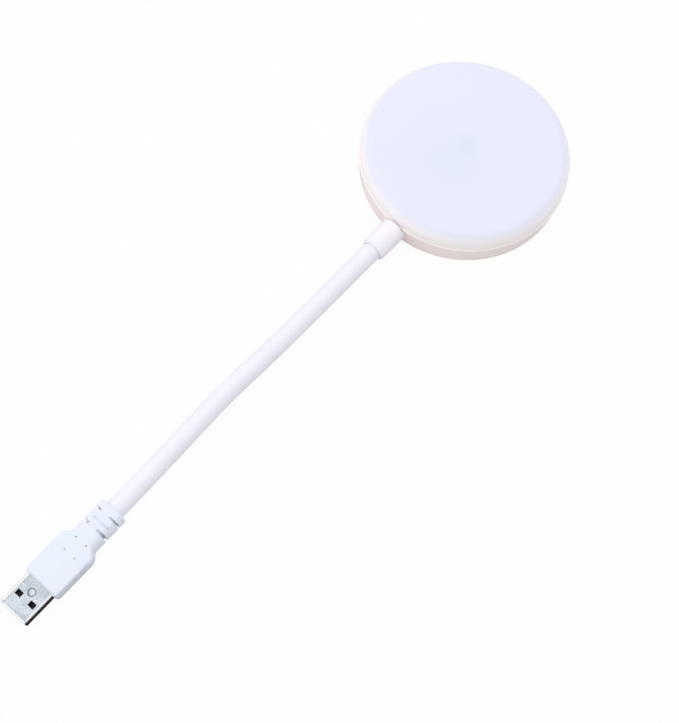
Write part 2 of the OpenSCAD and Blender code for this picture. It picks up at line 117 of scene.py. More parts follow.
class HeadSettings(PropertyGroup):
    """Sizes of the lamp head."""

    crown_rise: length("Crown", 0.5, "Rise of the cover's crown at its centre")
    edge_round: length("Edge", 4.3, "Rounding of the cover's upper edge")
    cover_wall: length("Cover wall", 1.6, "Wall of the cover")
    skirt_wall: length("Skirt wall", 1.8, "Wall of the cover where it grips the base")
    lip_proud: length("Lip proud", 0.4, "How far the lip stands out from the cover's wall")
    lip_thickness: length("Lip", 0.9, "Thickness of the lip at the seam")
    seam_gap: length("Seam", 0.3, "Dark gap under the lip")
    base_inset: length("Base inset", 0.8, "How far the base's wall stands inside the lip")
    base_edge: length("Base edge", 0.5, "Rounding of the base's lower edge")
    rim_edge: length("Rim edge", 0.25, "Rounding of the base's upper edge")
    base_floor: length("Base floor", 2, "Thickness of the base's floor")
    spigot_height: length("Spigot", 2.4, "Height of the spigot that centres the cover")
    spigot_wall: length("Spigot wall", 1, "Wall of the spigot")
    fit: length("Fit", 0.15, "Clearance of the cover on the spigot")


class NeckSettings(PropertyGroup):
    """Sizes of the ferrule and the neck."""

    ferrule_d: length("Ferrule", 10, "Diameter of the ferrule")
    ferrule_length: length("Ferrule length", 12.4, "Length of the ferrule from the head to its mouth")
    mouth_round: length("Mouth", 0.9, "Rounding of the ferrule's mouth")
    root_round: length("Root", 0.15, "Rounding of the ferrule where it meets the head")
    mouth_flare: length("Mouth flare", 0.15, "Widening of the socket at the ferrule's mouth")
    socket_depth: length("Socket", 9, "Depth of the socket that holds the neck")
    shank_d: length("Shank", 4.6, "Diameter of the shank through the base's wall")
    shank_length: length("Shank length", 7.3, "Length of the shank inside the head")
    bore_d: length("Bore", 3.3, "Bore for the leads")
    neck_d: length("Neck", 7.5, "Outside diameter of the neck")
    skin_wall: length("Skin", 0.45, "Wall of the neck's outer skin")
    tucked: length("Tucked in", 6, "Length of the skin inside the ferrule and the plug")
    slip: length("Slip", 0.05, "Clearance between pieces that are pushed together")
    lead_d: length("Lead", 1.3, "Diameter of one insulated lead")
    lead_pitch: length("Lead pitch", 1.4, "Distance between the two leads")
    lead_turn: length("Lead turn", 3, "Length over which the leads turn on each side of a bend")
    lead_gap: length("Lead gap", 1, "Room for the bend next to the leads of the head and the plug")


class PlugSettings(PropertyGroup):
    """Sizes of the moulded plug and its steel shell."""

    grip_width: length("Grip width", 14.6, "Width of the grip")
    grip_thickness: length("Grip thickness", 7.6, "Thickness of the grip")
    grip_length: length("Grip length", 34.9, "Length of grip and strain relief together")
    grip_round: length("Grip rounding", 0.8, "Rounding of the grip's long edges")
    front_round: length("Front rounding", 1.7, "Rounding of the grip's front edges")
    relief_width: length("Relief width", 10.25, "Width of the strain relief")
    relief_thickness: length("Relief thickness", 9, "Thickness of the strain relief")
    relief_round: length("Relief rounding", 2.6, "Rounding of the strain relief's corners")
    relief_length: length("Relief length", 14.2, "Length of the strain relief up to the shoulders")
    shoulder_length: length("Shoulders", 3.6, "Length of the sloped shoulders")
    mouth_round: length("Mouth rounding", 0.6, "Rounding of the strain relief's mouth")
    slot_width: length("Slot", 0.75, "Width of the narrow slots")
    last_slot_width: length("Last slot", 1.05, "Width of the slot next to the shoulders")
    side_slot: length("Side slot", 3, "Distance from the mouth to the first side slots")
    cross_slot: length("Cross slot", 6.25, "Distance from the mouth to the cross slots")
    last_slot: length("Last slot place", 8.8, "Distance from the mouth to the last side slots")
    cross_length: length("Cross slot length", 7, "Length of the cross slots")
    cross_aside: length("Cross slots aside", 0.7, "How far the cross slots lie beside the plug's middle")
    cross_depth: length("Cross slot depth", 0.4, "Depth of the cross slots at their ends")
    bridge: length("Bridge", 3.8, "Width of the bridges between the side slots")
    bridge_aside: length("Bridges aside", 0.4, "How far the bridges lie beside the plug's middle")
    sleeve_wall: length("Sleeve", 0.5, "Wall of the sleeve at the bottom of the slots")
    pin_mark_d: length("Pin mark", 0.55, "Diameter of the pin marks")
    pin_mark_depth: length("Pin mark depth", 0.4, "Depth of the pin marks")
    pin_mark_place: length("Pin mark place", 15.6, "Distance from the mouth to the first pin marks")
    pin_mark_row: length("Pin mark row", 5.6, "Distance between the pin marks along the plug")
    pin_mark_pair: length("Pin mark pair", 4.8, "Distance between the pin marks across the plug")
    pin_mark_aside: length("Pin marks aside", 0.3, "How far the pin marks lie beside the plug's middle")
    shell_width: length("Shell width", 12, "Width of the steel shell")
    shell_thickness: length("Shell thickness", 4.5, "Thickness of the steel shell")
    shell_round: length("Shell rounding", 0.8, "Rounding of the shell's long edges")
    shell_in: length("Shell inside", 6, "Length of the shell inside the grip")
    sheet: length("Sheet", 0.3, "Thickness of the steel sheet")
    tip_length: length("Tip", 0.7, "Length of the drawn-in tip")
    tip_in: length("Tip drawn in", 0.22, "How far the tip is drawn in on each side")
    window_width: length("Window width", 2.5, "Window size across the shell")
    window_length: length("Window length", 2, "Window size along the shell")
    window_place: length("Window place", 6.1, "Distance from the tip to the middle of the windows")
    window_pair: length("Window pair", 6.1, "Distance between two windows")
    dimple_d: length("Dimple", 2.7, "Diameter of the stamped dimple")
    dimple_depth: length("Dimple depth", 0.2, "Depth of the stamped dimple")
    dimple_place: length("Dimple place", 9, "Distance from the tip to the dimple")
    seam_width: length("Shell seam", 0.12, "Width of the joint in the shell's underside")


class FinishSettings(PropertyGroup):
    """Colours of the visible surfaces."""

    opal: colour("Opal", (0.80, 0.815, 0.915), "Face of the opal cover")
    opal_spot: colour("Opal spot", (0.715, 0.785, 0.885), "Faint spot at the cover's centre")
    # Painted warm light on the cover's rounded edge
    opal_rim_light: colour("Opal rim", (0.99, 0.955, 0.93), "Rounded edge of the cover")
    # Painted highlight on the cover's lip
    opal_lip_highlight: colour("Opal lip", (1, 0.96, 0.92), "Lip of the cover at the seam")
    head_white: colour("Head white", (0.937, 0.85, 0.823), "Plastic of the base")
    ferrule_white: colour("Ferrule white", (0.935, 0.90, 0.965), "Plastic of the ferrule")
    neck_white: colour("Neck white", (0.885, 0.89, 0.955), "Skin of the neck")
    grip_white: colour("Grip white", (0.80, 0.852, 0.932), "Plastic of the plug")
    # Painted shade in the plug's slots and pin marks
    grip_recess_shade: colour("Grip dust", (0.20, 0.17, 0.17), "Bottom of the plug's slots and pin marks")
    steel: colour("Steel", (0.465, 0.505, 0.545), "Steel of the plug's shell")
    # Painted highlight on the shell's rolled edges
    steel_edge_highlight: colour("Steel edge", (0.88, 0.89, 0.91), "Rolled edges of the shell")


class StageSettings(PropertyGroup):
    """Camera and light."""

    azimuth: FloatProperty(name="Azimuth", description="Camera's angle round the lamp, from -Y towards +X",
                           default=math.radians(33.876), subtype="ANGLE")
    elevation: FloatProperty(name="Elevation", description="Camera's angle above the floor",
                             default=math.radians(69.013), subtype="ANGLE")
    roll: FloatProperty(name="Roll", description="Camera's turn about its own axis",
                        default=math.radians(8.730), subtype="ANGLE")
    distance: length("Distance", 461.44, "Camera's distance from the point that it looks at")
    aim: FloatVectorProperty(name="Aim", description="Point on the floor at the middle of the picture",
                             default=(0.01968, -0.09347, 0), subtype="TRANSLATION", unit="LENGTH")
    lens: FloatProperty(name="Lens", description="Focal length", default=62.2, unit="CAMERA")
    floor: colour("Floor", (0.9, 0.87, 0.86), "Pale floor")


class LampSettings(PropertyGroup):
    """All settings of the lamp."""

    head: PointerProperty(type=HeadSettings)
    neck: PointerProperty(type=NeckSettings)
    plug: PointerProperty(type=PlugSettings)
    finish: PointerProperty(type=FinishSettings)
    stage: PointerProperty(type=StageSettings)


# Shader arithmetic


class Shade:
    """A socket of a node tree: arithmetic on it adds Math nodes, and node() adds any other node."""

    def __init__(self, tree, socket=None):
        self.tree = tree
        self.socket = socket

    def node(self, kind, settings=None, inputs=None, output=0):
        """A new node with its settings made first, then the values or links of its sockets."""
        made = self.tree.nodes.new(kind)
        for name, value in (settings or {}).items():
            setattr(made, name, value)
        for name, value in (inputs or {}).items():
            if isinstance(value, Shade):
                self.tree.links.new(value.socket, made.inputs[name])
            else:
                made.inputs[name].default_value = value
        return Shade(self.tree, made.outputs[output] if made.outputs else None)

    def math(self, operation, first, second):
        return self.node("ShaderNodeMath", {"operation": operation}, {0: first, 1: second})

    def __add__(self, other):
        return self.math("ADD", self, other)

    def __sub__(self, other):
        return self.math("SUBTRACT", self, other)

    def __rsub__(self, other):
        return self.math("SUBTRACT", other, self)

    def __mul__(self, other):
        return self.math("MULTIPLY", self, other)

    __radd__ = __add__
    __rmul__ = __mul__

    def step(self, low, high):
        """A soft step of this value, 0 at low and 1 at high."""
        return self.node("ShaderNodeMapRange", {"interpolation_type": "SMOOTHSTEP"}, {0: self, 1: low, 2: high})

    def between(self, first, second):
        """A mix of two colours by this value."""
        return self.node("ShaderNodeMix", {"data_type": "RGBA"}, {0: self, 6: first, 7: second}, 2)

    def scaled(self, factors):
        """This vector with each axis multiplied by a factor."""
        return self.node("ShaderNodeVectorMath", {"operation": "MULTIPLY"}, {0: self, 1: factors})

    def size(self):
        """The length of this vector."""
        return self.node("ShaderNodeVectorMath", {"operation": "LENGTH"}, {0: self}, "Value")

    def noise(self, grain, detail=3):
        """Noise on this vector, with features of about the grain's size."""
        return self.node("ShaderNodeTexNoise", {}, {"Vector": self, "Scale": 1 / grain, "Detail": detail})

    def along(self, origin, direction):
        """How far this place lies from an origin along a direction."""
        apart = self.node("ShaderNodeVectorMath", {"operation": "SUBTRACT"}, {0: self, 1: origin})
        return self.node("ShaderNodeVectorMath", {"operation": "DOT_PRODUCT"}, {0: apart, 1: direction}, "Value")

    def line(self, at, width):
        """1 where this value is at a place, fading to 0 over a width on both sides."""
        return self.step(at - width, at) * (1 - self.step(at, at + width))

    def bump(self, depth):
        """A normal that is raised by this value."""
        return self.node("ShaderNodeBump", {}, {"Height": self, "Distance": depth})


def finish(name, describe):
    """A material whose Principled sockets are described from the object's own coordinates."""
    material = bpy.data.materials.new(name)
    material.use_nodes = True
    material.node_tree.nodes.clear()
    shade = Shade(material.node_tree)
    place = shade.node("ShaderNodeTexCoord", output="Object")
    body = shade.node("ShaderNodeBsdfPrincipled", inputs=describe(place))
    shade.node("ShaderNodeOutputMaterial", inputs={"Surface": body})
    return material


def rgba(rgb, factor=1):
    """A colour for a socket, lighter or darker by a factor."""
    return (*(channel * factor for channel in rgb), 1)


def moulded(rgb, grain, depth, roughness):
    """Moulded plastic: an even grain, slight flow marks and a soft gloss that varies with handling."""
    def describe(place):
        flow = place.noise(18 * MM, 2)
        handling = place.noise(5 * MM, 4)
        texture = place.noise(grain, 2)
        tone = flow * 0.6 + handling * 0.4
        return {
            "Base Color": tone.step(0.3, 0.7).between(rgba(rgb, 0.975), rgba(rgb)),
            "Roughness": handling * 0.12 + (roughness - 0.06),
            "Normal": texture.bump(depth),
            "Specular IOR Level": 0.25,
        }
    return describe


def head_plastic(look):
    """Plastic of the base, with the gloss of a polished mould over it."""
    def describe(place):
        plain = moulded(look.head_white, 0.5 * MM, 0.008 * MM, 0.42)
        return plain(place) | {"Coat Weight": 1, "Coat Roughness": 0.12}
    return describe


def grip_plastic(look):
    """Plastic of the plug, with painted shade in its slots and pin marks."""
    def describe(place):
        sockets = moulded(look.grip_white, 0.35 * MM, 0.01 * MM, 0.46)(place)
        recess_shade = place.node("ShaderNodeAttribute", {"attribute_name": RECESS_SHADE}, output="Fac")
        # Painted shade in the slots and pin marks, from the stored attribute
        sockets["Base Color"] = (recess_shade * recess_shade.step(0, 0.3)).between(sockets["Base Color"], rgba(look.grip_recess_shade))
        return sockets
    return describe


def opal(look):
    """Opal plastic: bluish face with a faint spot and haze near its centre, painted warm light on its rounded edge
    and a painted highlight on its lip.
    """
    def describe(place):
        flat = place.scaled((1, 1, 0))
        radius = flat.size()
        aside = flat.node("ShaderNodeVectorMath", {"operation": "DISTANCE"}, {0: flat, 1: (0, -8 * MM, 0)}, "Value")
        cloud = place.noise(26 * MM, 2)
        spot = 1 - (radius + (cloud - 0.5) * 3 * MM).step(1.5 * MM, 7 * MM)
        haze = 1 - (aside + (cloud - 0.5) * 20 * MM).step(3 * MM, 30 * MM)
        # Painted warm light on the rounded edge, and a painted highlight on the lip
        rim = radius.step(DISC_R - 3.4 * MM, DISC_R)
        lip = radius.step(DISC_R - 0.38 * MM, DISC_R - 0.3 * MM)
        face = (cloud.step(0.35, 0.65) * 0.5).between(rgba(look.opal), rgba(look.opal, 0.985))
        hazy = (haze * 0.45).between(face, rgba(look.opal_spot))
        spotted = (spot * 0.7).between(hazy, rgba(look.opal_spot))
        return {
            "Base Color": lip.between(rim.between(spotted, rgba(look.opal_rim_light)), rgba(look.opal_lip_highlight)),
            "Roughness": place.noise(3 * MM) * 0.1 + 0.38,
            "Normal": place.noise(0.35 * MM, 2).bump(0.004 * MM),
            "Specular IOR Level": 0.25,
            "Subsurface Weight": 0.15,
            "Subsurface Radius": (1, 1, 1),
            "Subsurface Scale": 1 * MM,
        }
    return describe


def skin(look):
    """Soft skin of the neck: faint marks drawn out along its length."""
    def describe(place):
        drawn = place.scaled((1, 0.06, 1)).noise(1.2 * MM, 3)
        dust = place.noise(9 * MM, 4)
        tone = drawn * 0.35 + dust * 0.65
        return {
            "Base Color": tone.step(0.3, 0.7).between(rgba(look.neck_white, 0.97), rgba(look.neck_white)),
            "Roughness": dust * 0.14 + 0.36,
            "Normal": (drawn * 0.5 + place.noise(0.4 * MM, 2) * 0.5).bump(0.006 * MM),
            "Specular IOR Level": 0.2,
        }
    return describe


def steel(look, plug):
    """Plated steel sheet: finely speckled, with painted highlights on both long edges, the drawn-in tip and faintly
    in the dimple, painted dark reflection lines at the left fold, the left edge, the tip and round the dimple, and
    painted shade towards the grip.
    """
    shell = placed(PLUG_TIP, PLUG_AHEAD, NECK_UP)
    dimple = shell @ Vector((0, plug.shell_thickness / 2, -plug.dimple_place))
    fold = plug.shell_width / 2 - 1.3 * plug.shell_round

    def describe(place):
        speckle = place.noise(0.3 * MM, 2)
        tone = speckle * 0.75 + place.noise(2.5 * MM, 3) * 0.25
        side = place.along(PLUG_TIP, shell.col[0].xyz)
        back = place.along(PLUG_TIP, -PLUG_AHEAD)
        ring = place.node("ShaderNodeVectorMath", {"operation": "DISTANCE"}, {0: place, 1: dimple}, "Value")
        # Painted dark reflection lines at the left fold, the left edge, the tip and round the dimple
        dark_reflection_lines = side.line(-fold, 0.22 * MM) + side.line(-plug.shell_width / 2, 0.5 * MM) + back.line(0, 0.3 * MM) \
            + back.line(plug.tip_length, 0.22 * MM) + ring.line(plug.dimple_d / 2, 0.4 * MM) * 1.25
        # Painted highlights on both rolled edges, the drawn-in tip and faintly in the dimple
        edge_highlight = 1 - side.step(-fold - 0.25 * MM, -fold) + side.step(fold, fold + 0.6 * MM) \
            + (1 - back.step(plug.tip_length - 0.25 * MM, plug.tip_length)) \
            + (1 - ring.step(plug.dimple_d * 0.3, plug.dimple_d * 0.5)) * 0.1
        # Painted shade towards the grip
        painted_shade = back.step(9.5 * MM, 13 * MM) * 0.3
        sheet = tone.step(0.35, 0.65).between(rgba(look.steel, 0.74), rgba(look.steel, 1.24))
        sheet_with_painted_light = edge_highlight.between(painted_shade.between(sheet, rgba(look.steel, 0.7)), rgba(look.steel_edge_highlight))
        return {
            "Base Color": (dark_reflection_lines * 0.75).between(sheet_with_painted_light, rgba(look.steel, 0.3)),
            "Metallic": 1,
            "Roughness": tone * 0.12 + 0.24,
            "Normal": speckle.bump(0.002 * MM),
        }
    return describe


def metal(rgb, grain, roughness):
    """Plain worked metal with a fine grain and slightly uneven gloss."""
    def describe(place):
        worked = place.noise(grain, 3)
        return {
            "Base Color": worked.step(0.3, 0.7).between(rgba(rgb, 0.85), rgba(rgb)),
            "Metallic": 1,
            "Roughness": worked * 0.2 + (roughness - 0.1),
            "Normal": worked.bump(0.004 * MM),
        }
    return describe


def contact_gold(place):
    """Gold flash on the contacts, with painted shade over them further in from the tip."""
    along = place.node("ShaderNodeSeparateXYZ", inputs={0: place}, output="Y")
    # Painted shade on the contacts further in, under the shell
    painted_shade = (along + place.noise(0.6 * MM) * 0.6 * MM).step(PLUG_TIP.y + 3 * MM, PLUG_TIP.y + 4.8 * MM)
    return {
        "Base Color": painted_shade.between((0.80, 0.58, 0.24, 1), (0.03, 0.024, 0.018, 1)),
        "Metallic": 1 - painted_shade * 0.6,
        "Roughness": painted_shade * 0.35 + 0.25,
        "Normal": place.noise(0.2 * MM).bump(0.003 * MM),
    }


# Mesh helpers


def placed(origin, ahead, up):
    """A frame with Z ahead and Y up."""
    z = ahead.normalized()
    x = up.cross(z).normalized()
    turn = Matrix((x, z.cross(x), z)).transposed().to_4x4()
    return Matrix.Translation(origin) @ turn


def arc(centre, radius, start, end, steps):
    """Points of an arc, with its angles in degrees."""
    angles = [math.radians(start + (end - start) * i / steps) for i in range(steps + 1)]
    return [(centre[0] + radius * math.cos(a), centre[1] + radius * math.sin(a)) for a in angles]


def lathe(outline, steps, closed):
    """A body of revolution about Z, from (radius, height) points."""
    bm = bmesh.new()
    verts = [bm.verts.new((r, 0, z)) for r, z in outline]
    pairs = list(zip(verts, verts[1:])) + ([(verts[-1], verts[0])] if closed else [])
    edges = [bm.edges.new(pair) for pair in pairs]
    bmesh.ops.spin(bm, geom=verts + edges, cent=(0, 0, 0), axis=(0, 0, 1), angle=math.tau, steps=steps,
                   use_merge=True)
    bmesh.ops.remove_doubles(bm, verts=bm.verts, dist=0.0001 * MM)
    bmesh.ops.recalc_face_normals(bm, faces=bm.faces)
    return bm


def rounded_loop(bm, width, height, radius, at):
    """A loop of edges round a rectangle with round corners, square to Z."""
    half_step = math.pi / (4 * CORNER_STEPS)
    turn = Matrix.Translation((0, 0, at)) @ Matrix.Rotation(half_step, 4, "Z")
    made = bmesh.ops.create_circle(bm, segments=4 * CORNER_STEPS, radius=radius / math.cos(half_step), matrix=turn)
    for x in (-1, 1):
        for y in (-1, 1):
            corner = [v for v in made["verts"] if v.co.x * x > 0 and v.co.y * y > 0]
            bmesh.ops.translate(bm, verts=corner, vec=(x * (width / 2 - radius), y * (height / 2 - radius), 0))
    return list({edge for vert in made["verts"] for edge in vert.link_edges})


def bridged(bm, loops):
    """Skins each loop to the next."""
    for near, far in zip(loops, loops[1:]):
        bmesh.ops.bridge_loops(bm, edges=near + far)


def tube(bm, stations, radius, steps=TUBE_STEPS):
    """Loops of a round tube, one at each (place, direction)."""
    loops = []
    for place, ahead in stations:
        made = bmesh.ops.create_circle(bm, segments=steps, radius=radius, matrix=placed(place, ahead, NECK_UP))
        loops.append(list({edge for vert in made["verts"] for edge in vert.link_edges}))
    return loops


def block(width, height, depth, centre):
    """A box for cutting."""
    bm = bmesh.new()
    size = Matrix.Diagonal((width, height, depth, 1))
    bmesh.ops.create_cube(bm, size=1, matrix=Matrix.Translation(centre) @ size)
    return bm


def prism(width, height, radius, start, end):
    """A bar along Z with a rounded rectangle for its section."""
    bm = bmesh.new()
    loops = [rounded_loop(bm, width, height, radius, at) for at in (start, end)]
    bridged(bm, loops)
    for loop in loops:
        bmesh.ops.edgeloop_fill(bm, edges=loop)
    return bm


def rod(radius, start, end):
    """A round bar along Z for cutting or joining."""
    bm = bmesh.new()
    middle = Matrix.Translation((0, 0, (start + end) / 2))
    bmesh.ops.create_cone(bm, cap_ends=True, segments=TUBE_STEPS, radius1=radius, radius2=radius,
                          depth=end - start, matrix=middle)
    return bm


def as_object(name, bm):
    """The mesh as an object at the origin."""
    bmesh.ops.recalc_face_normals(bm, faces=bm.faces)
    mesh = bpy.data.meshes.new(name)
    bm.to_mesh(mesh)
    bm.free()
    piece = bpy.data.objects.new(name, mesh)
    bpy.context.scene.collection.objects.link(piece)
    return piece


def carve(piece, operation, tools):
    """Joins or cuts the piece with tool meshes, one after the other."""
    for bm in tools:
        tool = as_object("tool", bm)
        change = piece.modifiers.new("carve", "BOOLEAN")
        change.operation = operation
        change.solver = "EXACT"
        change.object = tool
        bpy.context.view_layer.update()
        before = piece.data
        piece.data = bpy.data.meshes.new_from_object(piece.evaluated_get(bpy.context.evaluated_depsgraph_get()))
        piece.modifiers.clear()
        bpy.data.meshes.remove(before)
        bpy.data.meshes.remove(tool.data)
        piece.data.name = piece.name


def polish(piece, material, crease=35):
    """Shades the piece smooth except at creases, and gives it its material."""
    piece.data.shade_smooth()
    piece.data.set_sharp_from_angle(angle=math.radians(crease))
    piece.data.materials.clear()
    piece.data.materials.append(material)


# Lamp head


def crown_outline(head, inset):
    """Crown and rounded edge of the cover, drawn in by a wall."""
    edge_centre = DISC_R - head.lip_proud - head.edge_round
    crown_r = (edge_centre ** 2 + head.crown_rise ** 2) / (2 * head.crown_rise)
    crown_z = TOP_Z - crown_r
    edge_z = crown_z + math.sqrt((crown_r - head.edge_round) ** 2 - edge_centre ** 2)
    turn = math.degrees(math.asin(edge_centre / (crown_r - head.edge_round)))
    crown = arc((0, crown_z), crown_r - inset, 90, 90 - turn, CROWN_STEPS)
    edge = arc((edge_centre, edge_z), head.edge_round - inset, 90 - turn, 0, EDGE_STEPS)
    return [(0, TOP_Z - inset)] + crown[1:] + edge[1:]


def cover_outline(head):
    """Half section of the cover, from the top of the crown round the lip to the crown's underside."""
    wall_r = DISC_R - head.lip_proud
    skirt_r = wall_r - head.skirt_wall
    skirt_top = SEAM_Z + head.spigot_height + head.fit
    lip_r = head.lip_thickness / 2
    lip = arc((DISC_R - lip_r, SEAM_Z + lip_r), lip_r, 60, -90, LIP_STEPS)
    inside = [(skirt_r, SEAM_Z), (skirt_r, skirt_top), (wall_r - head.cover_wall, skirt_top)]
    return crown_outline(head, 0) + [(wall_r, SEAM_Z + head.lip_thickness)] + lip + inside \
        + crown_outline(head, head.cover_wall)[::-1]


def base_outline(head):
    """Half section of the base, from the middle of its back round the spigot to the tray's floor."""
    base_r = DISC_R - head.base_inset
    rim_z = SEAM_Z - head.seam_gap
    spigot_r = DISC_R - head.lip_proud - head.skirt_wall - head.fit
    tray_r = spigot_r - head.spigot_wall
    spigot_top = SEAM_Z + head.spigot_height
    back = arc((base_r - head.base_edge, head.base_edge), head.base_edge, -90, 0, 10)
    rim = arc((base_r - head.rim_edge, rim_z - head.rim_edge), head.rim_edge, 0, 90, 5)
    tray = [(spigot_r, rim_z), (spigot_r, spigot_top), (tray_r, spigot_top), (tray_r, head.base_floor)]
    return [(0, 0)] + back + rim + tray + [(0, head.base_floor)]


class LAMP_OT_base(Operator):
    """Makes the base of the lamp head with the pad that the ferrule sits on"""

    bl_idname = "lamp.base"
    bl_label = "Base"

    def execute(self, context):
        lamp = context.scene.disc_lamp
        head, neck = lamp.head, lamp.neck
        wall = placed(FERRULE_MOUTH - NECK_AHEAD * neck.ferrule_length, NECK_AHEAD, NECK_UP)
        pad_r = neck.ferrule_d / 2
        reach = 2 * head.base_inset + head.skirt_wall
        edge = arc((pad_r - neck.root_round, -neck.root_round), neck.root_round, 0, 90, 5)
        pad = lathe([(0, -reach), (pad_r, -reach)] + edge + [(0, 0)], TUBE_STEPS, False)
        bmesh.ops.transform(pad, matrix=wall, verts=pad.verts)
        cut = bmesh.ops.bisect_plane(pad, geom=pad.verts[:] + pad.edges[:] + pad.faces[:], clear_outer=True,
                                     plane_co=(0, 0, SEAM_Z - head.seam_gap), plane_no=(0, 0, 1))
        bmesh.ops.edgeloop_fill(pad, edges=[e for e in cut["geom_cut"] if isinstance(e, bmesh.types.BMEdge)])
        passage = rod(neck.shank_d / 2 + neck.slip, -neck.shank_length, head.seam_gap)
        bmesh.ops.transform(passage, matrix=wall, verts=passage.verts)
        base = as_object("lamp_base", lathe(base_outline(head), DISC_STEPS, False))
        carve(base, "UNION", [pad])
        carve(base, "DIFFERENCE", [passage])
        polish(base, finish("head_white", head_plastic(lamp.finish)))
        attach(base, "head")
        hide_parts("base_shell")
        return {"FINISHED"}


class LAMP_OT_cover(Operator):
    """Makes the opal cover with its crown, rounded edge and lip"""

    bl_idname = "lamp.cover"
    bl_label = "Cover"

    def execute(self, context):
        lamp = context.scene.disc_lamp
        cover = as_object("opal_cover", lathe(cover_outline(lamp.head), DISC_STEPS, False))
        polish(cover, finish("opal_cover", opal(lamp.finish)))
        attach(cover, "head")
        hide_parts("diffuser")
        return {"FINISHED"}


# Neck


class LAMP_OT_ferrule(Operator):
    """Makes the ferrule that holds the neck in the head"""

    bl_idname = "lamp.ferrule"
    bl_label = "Ferrule"

    def execute(self, context):
        lamp = context.scene.disc_lamp
        neck = lamp.neck
        r = neck.ferrule_d / 2
        mouth = neck.ferrule_length
        socket_r = neck.neck_d / 2 + neck.slip
        root = arc((r - neck.root_round, neck.root_round), neck.root_round, -90, 0, ROUND_STEPS)
        lip = arc((r - neck.mouth_round, mouth - neck.mouth_round), neck.mouth_round, 0, 90, 8)
        shank = [(neck.bore_d / 2, -neck.shank_length), (neck.shank_d / 2, -neck.shank_length), (neck.shank_d / 2, 0)]
        socket = [(socket_r + neck.mouth_flare, mouth), (socket_r, mouth - 2 * neck.mouth_flare),
                  (socket_r, mouth - neck.socket_depth), (neck.bore_d / 2, mouth - neck.socket_depth)]
        bm = lathe(shank + root + lip + socket, TUBE_STEPS, True)
        wall = placed(FERRULE_MOUTH - NECK_AHEAD * mouth, NECK_AHEAD, NECK_UP)
        bmesh.ops.transform(bm, matrix=wall, verts=bm.verts)
        ferrule = as_object("ferrule", bm)
        polish(ferrule, finish("ferrule_white", moulded(lamp.finish.ferrule_white, 0.4 * MM, 0.006 * MM, 0.38)))
        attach(ferrule, "head")
        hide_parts("neck_ferrule")
        return {"FINISHED"}


def bend_stations(start, bend, end):
    """Places and directions along the even curve from one stretch of the neck to the next."""
    stations = []
    for i in range(BEND_STEPS + 1):
        t = i / BEND_STEPS
        near, far = start.lerp(bend, t), bend.lerp(end, t)
        stations.append((near.lerp(far, t), far - near))
    return stations


class LAMP_OT_neck(Operator):
    """Makes the skin of the neck, one length across each bend"""

    bl_idname = "lamp.neck"
    bl_label = "Neck"

    def execute(self, context):
        lamp = context.scene.disc_lamp
        neck = lamp.neck
        material = finish("neck_white", skin(lamp.finish))
        middles = [(a + b) / 2 for a, b in zip(BENDS, BENDS[1:])]
        ends = [FERRULE_MOUTH] + middles + [RELIEF_MOUTH]
        for number, bend in enumerate(BENDS, 1):
            start, end = ends[number - 1], ends[number]
            stations = bend_stations(start, bend, end)
            if number == 1:
                stations.insert(0, (start - NECK_AHEAD * neck.tucked, NECK_AHEAD))
            if number == len(BENDS):
                stations.append((end + PLUG_AHEAD * neck.tucked, PLUG_AHEAD))
            bm = bmesh.new()
            outside = tube(bm, stations, neck.neck_d / 2)
            inside = tube(bm, stations[::-1], neck.neck_d / 2 - neck.skin_wall)
            bridged(bm, outside + inside + outside[:1])
            piece = as_object(f"neck_skin_{number}", bm)
            polish(piece, material)
            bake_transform(piece)
            last = [f"neck_jacket_{number + 1}"] if number == len(BENDS) else []
            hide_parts(f"neck_jacket_{number}", *last)
        return {"FINISHED"}


class LAMP_OT_leads(Operator):
    """Makes the two leads inside the neck, one length across each inner bend"""

    bl_idname = "lamp.leads"
    bl_label = "Leads"

    def execute(self, context):
        neck = context.scene.disc_lamp.neck
        material = finish("lead_red", moulded((0.55, 0.07, 0.06), 0.3 * MM, 0.005 * MM, 0.5))
        last = len(BENDS) - 1
        for number in range(2, last + 1):
            before, bend, after = BENDS[number - 2:number + 1]
            back, ahead = (bend - before).normalized(), (after - bend).normalized()
            start, end = bend - back * neck.lead_turn, bend + ahead * neck.lead_turn
            near = before + back * neck.lead_gap if number == 2 else (before + bend) / 2
            far = after - ahead * neck.lead_gap if number == last else (bend + after) / 2
            stations = [(near, back)] + bend_stations(start, bend, end) + [(far, ahead)]
            bm = bmesh.new()
            for side in (-0.5, 0.5):
                beside = [(place + NECK_UP.cross(way).normalized() * side * neck.lead_pitch, way)
                          for place, way in stations]
                loops = tube(bm, beside, neck.lead_d / 2, BEND_STEPS)
                bridged(bm, loops)
                for loop in (loops[0], loops[-1]):
                    bmesh.ops.edgeloop_fill(bm, edges=loop)
            piece = as_object(f"lead_run_{number}", bm)
            polish(piece, material)
            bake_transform(piece)
            more = [f"lead_pair_{number + 1}"] if number == last else []
            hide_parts(f"lead_pair_{number}", *more)
        for name in ("lead_pair_1", f"lead_pair_{len(BENDS) + 1}"):
            frame["nodes"][name].data.materials.clear()
            frame["nodes"][name].data.materials.append(material)
        return {"FINISHED"}


# Plug


def grip_section(plug, at):
    """Width, thickness and rounding of the plug's moulding at a distance from its mouth."""
    t = min(max((at - plug.relief_length) / plug.shoulder_length, 0), 1)
    s = t * t * (3 - 2 * t)
    return (plug.relief_width + (plug.grip_width - plug.relief_width) * s,
            plug.relief_thickness + (plug.grip_thickness - plug.relief_thickness) * s,
            plug.relief_round + (plug.grip_round - plug.relief_round) * s)


# Painted shade in the plug's recesses, from 0 to 1: in all slots, more at the open ends of some, and in the pin marks
SLOT_SHADE = 0.12
LEFT_END_SHADE = 0.3
FIRST_END_SHADE = 0.4
LAST_END_SHADE = 0.88
MARK_SHADE = 0.5


